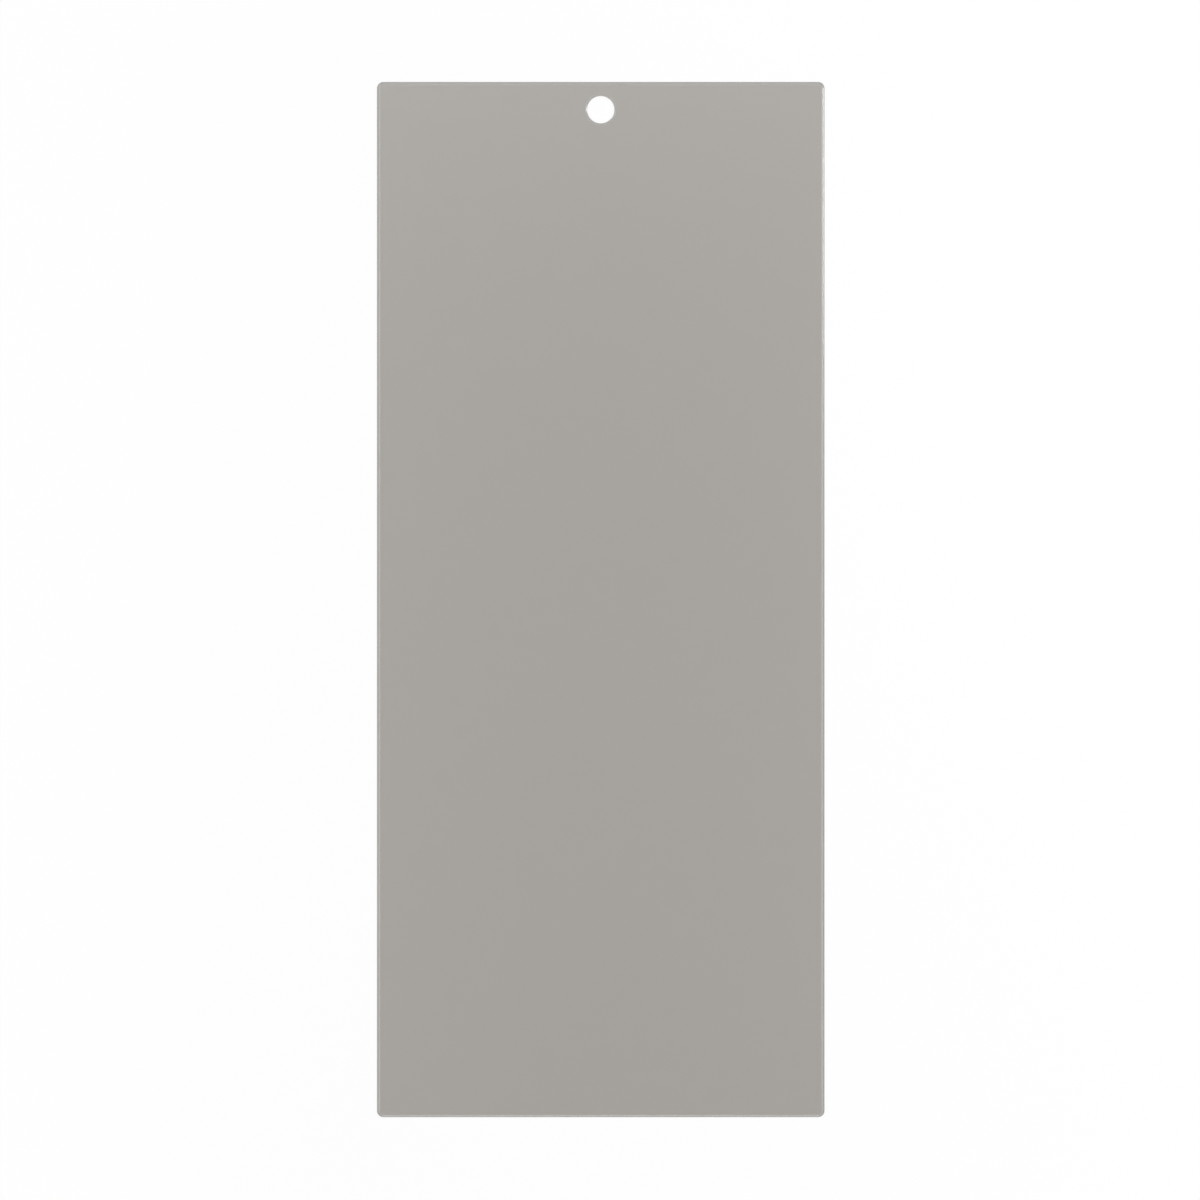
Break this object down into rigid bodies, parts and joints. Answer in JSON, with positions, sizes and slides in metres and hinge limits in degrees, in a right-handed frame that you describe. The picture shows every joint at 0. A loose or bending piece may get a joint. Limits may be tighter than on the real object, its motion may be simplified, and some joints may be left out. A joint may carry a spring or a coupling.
{
  "type": "phone screen protector",
  "caption": "Thin flat sheet of grey-tinted glass with a rounded edge, small corner radii and a round camera hole near one end; sticks over a phone's screen to guard it.",
  "frame": {"origin": "centre of the underside, the face that sticks to the phone's screen", "axes": "+X across the width, +Y along the length towards the camera hole, +Z out of the front face"},
  "size_m": [0.067, 0.155, 0.0003],
  "materials": {
    "tinted_glass": "see-through warm grey tint, satin face, ground edge that catches the light"
  },
  "bodies": {
    "root": {"protector_sheet": "tinted_glass"}
  },
  "joints": []
}
